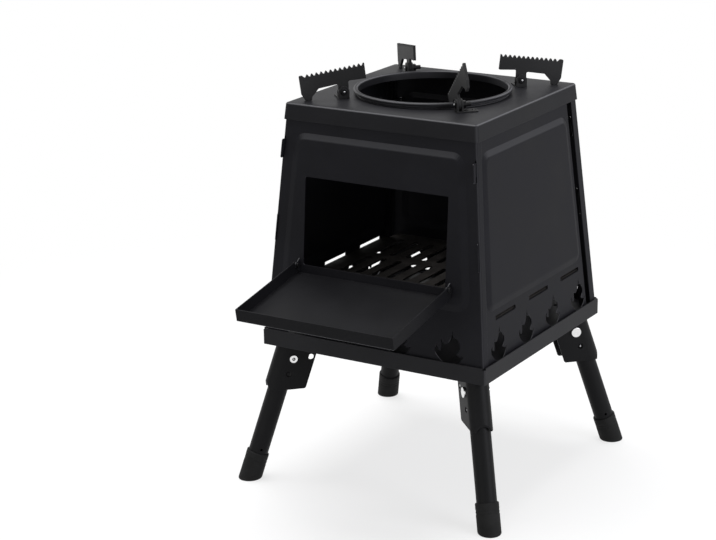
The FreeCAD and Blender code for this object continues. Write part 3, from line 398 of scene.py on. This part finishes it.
def finishes():
    """The stove's materials by slot name, made once."""
    made = {m["stove_finish"]: m for m in bpy.data.materials if "stove_finish" in m}
    if made:
        return made
    look = colours()
    grain = 0.06 * mm
    # The sheet paints carry the painted highlight on their bends, in the bend colour.
    made = {
        "base_paint": paint("base_paint", look.base, (0.44, 0.54), grain, wear_and_highlight=0.5, level=0.09,
                            bend_highlight_colour=look.bend),
        "wall_paint": paint("wall_paint", look.wall, (0.46, 0.56), grain, wear_and_highlight=0.4, level=0.06,
                            bend_highlight_colour=look.bend),
        "door_paint": paint("door_paint", look.door, (0.44, 0.54), grain, wear_and_highlight=0.5, level=0.06,
                            bend_highlight_colour=look.bend),
        "top_paint": paint("top_paint", look.top, (0.4, 0.5), grain, wear_and_highlight=0.6, level=0.065,
                            bend_highlight_colour=look.bend),
        "support_paint": paint("support_paint", look.support, (0.48, 0.6), grain, wear_and_highlight=0.4),
        "leg_paint": paint("leg_paint", look.leg, (0.4, 0.5), grain / 2, wear_and_highlight=0.4, level=0.08),
        "tube_paint": paint("tube_paint", look.leg, (0.4, 0.5), grain / 2, wear_and_highlight=0.3, level=0.08),
        "black_steel": paint("black_steel", look.leg, (0.36, 0.46), grain / 2, wear_and_highlight=0.4),
        "grate_iron": dark_iron("grate_iron", look.grate),
        "pin_steel": bright_metal("pin_steel", look.steel, (0.3, 0.42), scratch=0.02 * mm),
        "bolt_steel": bright_metal("bolt_steel", look.bolt, (0.14, 0.24), scratch=0.01 * mm),
        "foot_rubber": soft_rubber("foot_rubber", look.rubber),
    }
    for slot, material in made.items():
        material["stove_finish"] = slot
    return made


def grid_faces(rows, columns, wrap_rows, wrap_columns):
    """Quads between neighbours of a grid of points, as an array of four indices each."""
    i = np.arange(rows if wrap_rows else rows - 1)
    j = np.arange(columns if wrap_columns else columns - 1)
    i, j = np.meshgrid(i, j, indexing="ij")
    up = (i + 1) % rows
    across = (j + 1) % columns
    here, above = i * columns, up * columns
    quads = np.stack([here + j, here + across, above + across, above + j], axis=-1)
    return quads.reshape(-1, 4)


def piece(name, grids, slot, body, replaced=(), angle=32.0):
    """A piece from grids of points (rows, columns, 3), each with whether its rows and its columns close."""
    points = []
    faces = []
    start = 0
    for grid, wrap_rows, wrap_columns in grids:
        rows, columns = grid.shape[:2]
        faces.append(grid_faces(rows, columns, wrap_rows, wrap_columns) + start)
        points.append(grid.reshape(-1, 3))
        start += rows * columns
    mesh = bpy.data.meshes.new(name)
    mesh.from_pydata(np.concatenate(points).tolist(), [], np.concatenate(faces).tolist())
    finish_piece(name, mesh, slot, body, replaced, angle)


def finish_piece(name, mesh, slot, body, replaced, angle):
    """Merges a mesh's doubles, turns its faces out, smooths all but sharp edges and adds it to the stove."""
    work = bmesh.new()
    work.from_mesh(mesh)
    bmesh.ops.remove_doubles(work, verts=work.verts, dist=0.002 * mm)
    bmesh.ops.dissolve_degenerate(work, edges=work.edges, dist=0.001 * mm)
    bmesh.ops.recalc_face_normals(work, faces=work.faces)
    work.to_mesh(mesh)
    work.free()
    mesh.shade_smooth()
    mesh.set_sharp_from_angle(angle=math.radians(angle))
    mesh.materials.append(finishes()[slot])
    made = bpy.data.objects.new(name, mesh)
    bpy.context.collection.objects.link(made)
    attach(made, body)
    if replaced:
        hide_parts(*replaced)


def arc(centre, radius, start, end, steps):
    """Points of a circle's arc in a plane, from one angle in degrees to another."""
    angle = np.radians(np.linspace(start, end, steps))
    return np.stack([centre[0] + radius * np.cos(angle), centre[1] + radius * np.sin(angle)], axis=-1)


def spun(profile, steps):
    """Surface of revolution: each profile point (radius, height) goes round the third axis."""
    angle = np.linspace(0, 2 * math.pi, steps, endpoint=False)
    radius = profile[:, None, 0]
    height = profile[:, None, 1] + 0 * angle
    return np.stack([radius * np.cos(angle), radius * np.sin(angle), height], axis=-1)


def moved(grid, origin, x_axis, y_axis):
    """Grid made in a local frame, in the frame of the stove; the third axis is the product of the two."""
    x_axis = np.array(x_axis, float)
    y_axis = np.array(y_axis, float)
    axes = np.stack([x_axis, y_axis, np.cross(x_axis, y_axis)])
    return grid @ axes + np.array(origin, float)


def radial(turn):
    """Level direction out of the stove's axis, at an angle in degrees."""
    return np.array([math.cos(math.radians(turn)), math.sin(math.radians(turn)), 0.0])


def leg_place(grid, turn):
    """Grid made with x out of the leg, y up along it and z across it, at the leg's pivot."""
    out = radial(turn) * math.cos(leg_tilt) + upward * math.sin(leg_tilt)
    along = upward * math.cos(leg_tilt) - radial(turn) * math.sin(leg_tilt)
    origin = radial(turn) * pivot_radius + np.array([0.0, body_y, pivot_height])
    return moved(grid, origin, out, along)


class STOVE_OT_camera(bpy.types.Operator):
    """Set the camera at the photograph's viewing angle"""

    bl_idname = "stove.camera"
    bl_label = "Camera"

    def execute(self, context):
        azimuth, elevation, roll = (math.radians(a) for a in (view_azimuth, view_elevation, view_roll))
        back = Vector((math.sin(azimuth) * math.cos(elevation), -math.cos(azimuth) * math.cos(elevation),
                       math.sin(elevation)))
        right = Vector((math.cos(azimuth), math.sin(azimuth), 0.0))
        above = back.cross(right)
        right_rolled = right * math.cos(roll) + above * math.sin(roll)
        above_rolled = above * math.cos(roll) - right * math.sin(roll)
        camera = bpy.data.cameras.new("photo_camera")
        camera.lens = focal_pixels * film_width / picture_width
        camera.sensor_width = film_width
        camera.clip_end = 50.0
        holder = bpy.data.objects.new("photo_camera", camera)
        turn = Matrix((right_rolled, above_rolled, back)).transposed().to_4x4()
        eye = back * view_distance - right_rolled * view_left + above_rolled * view_above
        holder.matrix_world = Matrix.Translation(eye * mm + Vector((0, body_y, base_z))) @ turn
        context.collection.objects.link(holder)
        context.scene.camera = holder
        return {"FINISHED"}


def studio_light(name, place, target_height, width, height, power, colour):
    """Rectangular soft light at a place, facing a height on the stove's axis."""
    light = bpy.data.lights.new(name, "AREA")
    light.shape = "RECTANGLE"
    light.size = width
    light.size_y = height
    light.energy = power
    light.color = colour
    holder = bpy.data.objects.new(name, light)
    aim = Vector((0.0, 0.0, target_height)) - Vector(place)
    turn = aim.to_track_quat("-Z", "Y").to_matrix().to_4x4()
    holder.matrix_world = Matrix.Translation(Vector(place)) @ turn
    bpy.context.collection.objects.link(holder)


def seen_white(tree):
    """1 for the camera's rays and for reflected and refracted ones, which all see the background white."""
    path = tree.nodes.new("ShaderNodeLightPath")
    total = path.outputs["Is Camera Ray"]
    for kind in ("Is Glossy Ray", "Is Transmission Ray"):
        either = tree.nodes.new("ShaderNodeMath")
        either.operation = "MAXIMUM"
        tree.links.new(total, either.inputs[0])
        tree.links.new(path.outputs[kind], either.inputs[1])
        total = either.outputs[0]
    return total


class STOVE_OT_stage(bpy.types.Operator):
    """Lay the pale floor and set the studio's world and lights"""

    bl_idname = "stove.stage"
    bl_label = "Studio"

    def execute(self, context):
        mesh = bpy.data.meshes.new("floor")
        radius = np.array([0.0, 0.4, 0.8, 1.6, 3.2, 7.0])
        grid = spun(np.stack([radius, 0 * radius], axis=-1), 48)
        mesh.from_pydata(grid.reshape(-1, 3).tolist(), [], grid_faces(*grid.shape[:2], False, True).tolist())
        work = bmesh.new()
        work.from_mesh(mesh)
        bmesh.ops.remove_doubles(work, verts=work.verts, dist=mm)
        bmesh.ops.recalc_face_normals(work, faces=work.faces)
        work.to_mesh(mesh)
        work.free()
        floor = bpy.data.objects.new("floor", mesh)
        context.collection.objects.link(floor)
        material, tree, shader = bare_material("studio_floor")
        shader.inputs["Base Color"].default_value = rgba(colours().floor)
        shader.inputs["Roughness"].default_value = 0.9
        coords = tree.nodes.new("ShaderNodeTexCoord")
        length = tree.nodes.new("ShaderNodeVectorMath")
        length.operation = "LENGTH"
        tree.links.new(coords.outputs["Object"], length.inputs[0])
        far = span(tree, length.outputs["Value"], 0.35, 1.1, 0.7, 1.0)
        white = tree.nodes.new("ShaderNodeEmission")
        white.inputs["Color"].default_value = (1.0, 1.0, 1.0, 1.0)
        white.inputs["Strength"].default_value = 1.0
        seen = tree.nodes.new("ShaderNodeMath")
        seen.operation = "MULTIPLY"
        tree.links.new(seen_white(tree), seen.inputs[0])
        tree.links.new(far, seen.inputs[1])
        blend = tree.nodes.new("ShaderNodeMixShader")
        tree.links.new(seen.outputs[0], blend.inputs[0])
        tree.links.new(shader.outputs[0], blend.inputs[1])
        tree.links.new(white.outputs[0], blend.inputs[2])
        tree.links.new(blend.outputs[0], tree.nodes["Material Output"].inputs["Surface"])
        mesh.materials.append(material)

        world = bpy.data.worlds.new("studio")
        context.scene.world = world
        world.use_nodes = True
        sky = world.node_tree
        lit = sky.nodes["Background"]
        lit.inputs["Color"].default_value = (1.0, 1.0, 1.0, 1.0)
        lit.inputs["Strength"].default_value = 0.35
        plain = sky.nodes.new("ShaderNodeBackground")
        plain.inputs["Color"].default_value = (1.0, 1.0, 1.0, 1.0)
        plain.inputs["Strength"].default_value = 1.0
        blend = sky.nodes.new("ShaderNodeMixShader")
        sky.links.new(seen_white(sky), blend.inputs[0])
        sky.links.new(lit.outputs[0], blend.inputs[1])
        sky.links.new(plain.outputs[0], blend.inputs[2])
        sky.links.new(blend.outputs[0], sky.nodes["World Output"].inputs["Surface"])

        for name, row in studio_lights.items():
            studio_light(name, *row)
        context.scene.view_settings.view_transform = "Standard"
        return {"FINISHED"}


class STOVE_OT_nodes(bpy.types.Operator):
    """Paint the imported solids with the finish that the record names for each"""

    bl_idname = "stove.nodes"
    bl_label = "Painted solids"

    def execute(self, context):
        for row in frame["record"]["subparts"]:
            node = frame["nodes"][row["node"]]
            node.data.materials.clear()
            node.data.materials.append(finishes()[row["material_slot"]])
        return {"FINISHED"}


def rounded_square(half, radius, angle):
    """Point of a square with rounded corners in the direction of each angle.

    In the first eighth turn the ray meets either the flat side, at half over its cosine, or the corner's
    circle; the other eighths mirror this one.
    """
    turned = np.abs((angle + math.pi / 4) % (math.pi / 2) - math.pi / 4)
    flat = half / np.cos(turned)
    centre = (half - radius) * math.sqrt(2)
    offset = math.pi / 4 - turned
    reach = centre * np.cos(offset) + np.sqrt(np.maximum(radius ** 2 - (centre * np.sin(offset)) ** 2, 0.0))
    on_corner = flat * np.sin(turned) > half - radius
    return np.where(on_corner, reach, flat)


def cornered_angles(reach, count):
    """Angles round a square: even along its sides, and close together within some degrees of each corner."""
    even = np.arange(0.0, 360.0, 1.25)
    away = np.abs((even % 90.0) - 45.0) > reach
    close = 45.0 + np.linspace(-reach, reach, count)
    corners = np.concatenate([close + turn for turn in (0.0, 90.0, 180.0, 270.0)])
    return np.radians(np.sort(np.concatenate([even[away], corners])))


class STOVE_OT_cap(bpy.types.Operator):
    """Make the cap: one sheet from its flared skirt over the top to the collar's rolled bead"""

    bl_idname = "stove.cap"
    bl_label = "Cap"

    def execute(self, context):
        s = sizes()
        top = base_z + s.cap_height
        sheet = s.sheet
        collar_out = s.collar_radius + sheet + collar_foot
        angle = cornered_angles(1.3, 9)

        def square(half, height, radius):
            """Level ring in the form of a square with rounded corners."""
            return ring(rounded_square(half, max(radius, least_corner), angle), height)

        def ring(radius, height):
            """Level ring about the stove's axis, at one radius or at a radius for each angle."""
            x, y = radius * np.cos(angle), radius * np.sin(angle) + body_y
            return np.stack([x, y, height + 0 * angle], axis=-1)

        rows = []
        for share in np.linspace(0.0, 1.0, 4):
            rows.append(square(s.cap_half + s.cap_flare * (1 - share),
                               top - s.cap_skirt + (s.cap_skirt - cap_fold) * share, cap_corner))
        for x, z in arc((s.cap_half - cap_fold, top - cap_fold), cap_fold, 0, 90, 7)[1:]:
            rows.append(square(x, z, cap_corner - (s.cap_half - x)))
        for share in np.linspace(0.0, 1.0, 7)[1:]:
            outer = square(s.cap_half - cap_fold, top, cap_corner - cap_fold)
            rows.append(outer * (1 - share) + ring(collar_out, top) * share)
        for r, z in arc((collar_out, top + collar_foot), collar_foot, 270, 180, 4)[1:]:
            rows.append(ring(r, z))
        bead = (s.collar_radius + s.collar_bead, top + s.collar_height - s.collar_bead)
        for r, z in arc(bead, s.collar_bead, bead_start, bead_end, 20):
            rows.append(ring(r, z))
        for z in (top, top - sheet):
            rows.append(ring(s.collar_radius, z))
        for share in np.linspace(0.0, 1.0, 5)[1:]:
            inner = square(s.cap_half - sheet - inner_fold, top - sheet, cap_corner - sheet)
            rows.append(ring(s.collar_radius, top - sheet) * (1 - share) + inner * share)
        inside = s.cap_half - sheet
        rows.append(square(inside + s.cap_flare * 0.1, top - sheet - inner_fold, cap_corner - sheet))
        rows.append(square(inside + s.cap_flare, top - s.cap_skirt, cap_corner - sheet))
        piece("cap_sheet", [(np.array(rows), True, True)], "top_paint", "stove_body", ("top_plate",), 40.0)
        return {"FINISHED"}


def knob(radius, height, rim, steps=32):
    """Low round head that rises from just below zero height: its side, rounded rim and crowned face."""
    rows = [(pole, -0.3 * mm), (radius, -0.3 * mm), (radius, height - rim)]
    for r, z in arc((radius - rim, height - rim), rim, 0, 80, 5)[1:]:
        rows.append((r, z))
    for share in (0.8, 0.55, 0.3, 0.0):
        crown = 0.12 * radius * (1.0 - share ** 2)
        rows.append((max((radius - rim) * share, pole), height + crown))
    return spun(np.array(rows), steps)


def across_leg(grid, turn, out, up_leg, side, sideways):
    """Grid of a knob, on the left (1) or right (-1) of a leg at a distance from its middle plane."""
    flipped = grid * np.array([1.0, side, side])
    return leg_place(flipped + np.array([out, up_leg, side * sideways]), turn)


class STOVE_OT_pins(bpy.types.Operator):
    """Make the cross pins of the legs, steel dots on the pins' ends as painted glints, bright dots in the
    bolts' bores and black discs on the bores' floors as painted shade
    """

    bl_idname = "stove.pins"
    bl_label = "Pins"

    def execute(self, context):
        sunk = head_half - cross_pin_recess
        end = [(pole, -sunk), (cross_pin_tip, -sunk), (cross_pin_radius, cross_pin_edge - sunk)]
        shank = spun(np.array(end + [(reach, -place) for reach, place in reversed(end)]), 40)
        dot = knob(0.95 * mm, 0.3 * mm, 0.15 * mm, 20)
        bore = knob(1.97 * mm, 0.12 * mm, 0.05 * mm)
        spot = knob(0.8 * mm, 0.35 * mm, 0.2 * mm, 20)
        for name, turn in corner_turns.items():
            pin = leg_place(shank - np.array([0.0, cross_pin_drop, 0.0]), turn)
            piece("cross_" + name, [(pin, False, True)], "black_steel", "leg_" + name, ("cross_pin_" + name,))
            # A bright steel dot on each cross pin's end: a painted glint.
            pin_centre = across_leg(dot, turn, 0.0, -cross_pin_drop, 1, sunk)
            piece("cross_glint_dots_" + name, [(pin_centre, False, True)], "pin_steel", "leg_" + name)
            # A black disc on each bore's floor: painted shade in the hollow.
            dark = across_leg(bore, turn, 0.0, 0.0, -1, head_half + bolt_bore_floor)
            piece("bolt_bore_shade_" + name, [(dark, False, True)], "black_steel", "stove_body")
            bright = across_leg(spot, turn, 0.0, 0.0, -1, head_half + bolt_spot_floor)
            piece("bolt_spot_" + name, [(bright, False, True)], "bolt_steel", "stove_body")
        # A bright steel dot on each pot support pin's head: a painted glint.
        centres = []
        for name, turn in corner_turns.items():
            side = 1.0 if name in ("fl", "rl") else -1.0
            out = radial(turn)
            origin = out * support_pin_radius + np.array([0.0, body_y, base_z + support_pin_height])
            flipped = knob(1.15 * mm, 0.3 * mm, 0.2 * mm, 24) * np.array([1.0, -side, -side])
            flipped = flipped - np.array([0.0, 0.0, side * support_pin_face])
            centres.append((moved(flipped, origin, out, upward), False, True))
        piece("pot_pin_glints", centres, "pin_steel", "stove_body")
        return {"FINISHED"}


class STOVE_OT_feet(bpy.types.Operator):
    """Make the four rubber feet, grooved round the top and cut level with the ground"""

    bl_idname = "stove.feet"
    bl_label = "Feet"

    def execute(self, context):
        radius = sizes().foot_radius
        bore = sizes().tube_radius + bore_fit
        angle = np.linspace(0, 2 * math.pi, 72, endpoint=False)

        def sole(reach):
            """Distance down the leg at which a ring of that radius meets the ground."""
            out = tube_out + reach * np.cos(angle)
            return (pivot_height + out * math.sin(leg_tilt)) / math.cos(leg_tilt)

        rows = []

        def add(reach, down):
            """Adds a ring round the leg at a distance down it."""
            out, across = tube_out + reach * np.cos(angle), reach * np.sin(angle)
            rows.append(np.stack([out, -(down + 0 * angle), across], axis=-1))

        add(bore, bore_end)
        add(bore, foot_top + 0.8 * mm)
        for r, d in arc((radius - foot_lip, foot_top + foot_lip), foot_lip, 250, 360, 7):
            add(r, d)
        side_start = foot_top + 1.6 * mm
        side_end = sole(radius) - foot_edge
        for share in np.linspace(0.0, 1.0, 40):
            down = side_start + (side_end - side_start) * share
            groove = 0.0
            for place in groove_places[:sizes().foot_ribs]:
                groove = groove + groove_depth * np.exp(-((down - foot_top - place) / groove_width) ** 2)
            add(radius - groove, down)
        for turn in np.linspace(0.0, 90.0, 6)[1:]:
            reach = radius - foot_edge * (1 - math.cos(math.radians(turn)))
            add(reach, sole(reach) - foot_edge * (1 - math.sin(math.radians(turn))))
        for share in (0.6, 0.25, 0.001):
            reach = (radius - foot_edge) * share
            add(reach, sole(reach))
        add(pole, bore_end)
        for name, turn in corner_turns.items():
            grid = leg_place(np.array(rows), turn)
            piece("foot_" + name, [(grid, True, True)], "foot_rubber", "leg_" + name,
                  ("foot_cap_" + name,), 50.0)
        return {"FINISHED"}


class STOVE_PT_panel(bpy.types.Panel):
    """Steps that build the stove"""

    bl_idname = "STOVE_PT_panel"
    bl_label = "Camping wood stove"
    bl_space_type = "VIEW_3D"
    bl_region_type = "UI"
    bl_category = "Stove"

    def draw(self, context):
        for step in steps:
            self.layout.operator(step.bl_idname)
        for group in (context.scene.stove_sizes, context.scene.stove_colours):
            for name in group.bl_rna.properties.keys():
                if name not in ("rna_type", "name"):
                    self.layout.prop(group, name)


steps = (STOVE_OT_camera, STOVE_OT_stage, STOVE_OT_nodes, STOVE_OT_cap, STOVE_OT_pins, STOVE_OT_feet)


def register():
    for item in (StoveColours, StoveSizes, *steps, STOVE_PT_panel):
        bpy.utils.register_class(item)
    bpy.types.Scene.stove_colours = PointerProperty(type=StoveColours)
    bpy.types.Scene.stove_sizes = PointerProperty(type=StoveSizes)


def unregister():
    del bpy.types.Scene.stove_sizes
    del bpy.types.Scene.stove_colours
    for item in (STOVE_PT_panel, *reversed(steps), StoveSizes, StoveColours):
        bpy.utils.unregister_class(item)


def main():
    """Registers the add-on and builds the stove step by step."""
    register()
    for step in steps:
        group, name = step.bl_idname.split(".")
        getattr(getattr(bpy.ops, group), name)()


if __name__ == "__main__":
    main()
